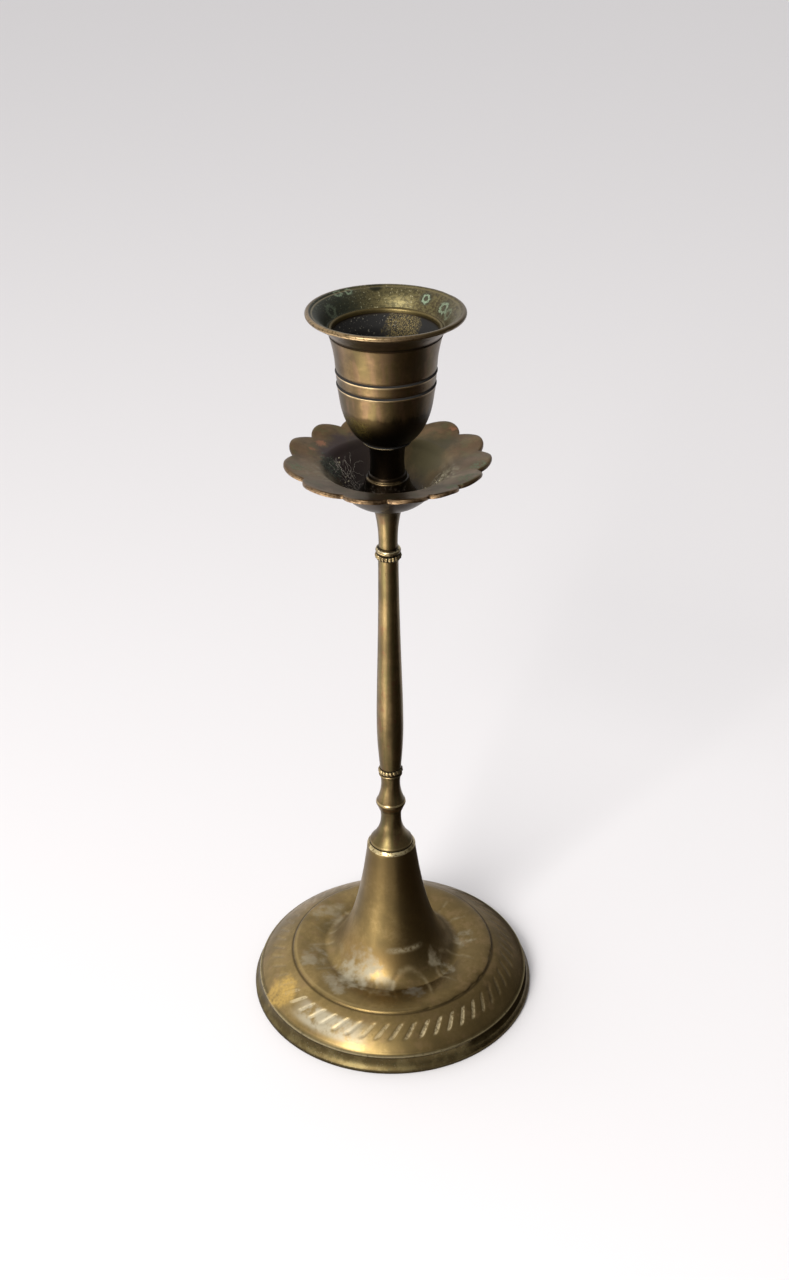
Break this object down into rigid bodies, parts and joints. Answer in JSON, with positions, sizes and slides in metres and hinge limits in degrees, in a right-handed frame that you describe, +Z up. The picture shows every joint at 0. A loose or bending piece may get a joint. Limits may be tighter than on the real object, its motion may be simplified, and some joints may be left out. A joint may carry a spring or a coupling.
{
  "type": "altar candlestick",
  "caption": "Slender turned brass taper candlestick with a flared bell cup, a scalloped drip pan, a ringed baluster stem and a domed hollow base.",
  "frame": {"origin": "centre of the base's lower edge, on the surface that it stands on", "axes": "+Z up along the turned axis; -Y towards the front, where a notch of the drip pan lies"},
  "size_m": [0.0698, 0.0698, 0.177],
  "materials": {
    "cup_brass": "aged satin, olive-brown patina",
    "sooty_brass": "soot-blackened, rough",
    "pan_brass": "aged satin with soot, wax and green tarnish",
    "stem_brass": "aged satin, brown patina",
    "ring_brass": "worn bright",
    "base_brass": "aged satin, worn highlights",
    "steel": "plain zinc-plated"
  },
  "bodies": {
    "stand": {"base_shell": "base_brass", "tie_rod": "steel", "stem_foot": "stem_brass", "knop": "stem_brass", "lower_ring": "ring_brass", "main_stem": "stem_brass", "neck_stud": "steel", "upper_ring": "ring_brass", "stem_neck": "stem_brass", "cup_stud": "steel"},
    "pan": {"drip_pan": "pan_brass"},
    "cup": {"candle_cup": "cup_brass", "cup_foot": "sooty_brass"},
    "washer": {"base_washer": "steel"},
    "nut": {"base_nut": "steel"}
  },
  "joints": [
    {"name": "pan_rise", "type": "slide", "parent": "stand", "child": "pan", "axis": [0, 0, 1], "range_m": [0, 0.006]},
    {"name": "cup_turn", "type": "hinge", "parent": "pan", "child": "cup", "pos_m": [0, 0, 0.1482], "axis": [0, 0, 1], "range_deg": [0, 4320]},
    {"name": "washer_drop", "type": "slide", "parent": "stand", "child": "washer", "axis": [0, 0, -1], "range_m": [0, 0.004]},
    {"name": "nut_turn", "type": "hinge", "parent": "washer", "child": "nut", "pos_m": [0, 0, 0.0404], "axis": [0, 0, -1], "range_deg": [0, 2880]}
  ],
  "couplings": [
    {"joint": "cup_turn", "follows": "pan_rise", "rad_per_m": 12566},
    {"joint": "nut_turn", "follows": "washer_drop", "rad_per_m": 12566}
  ]
}
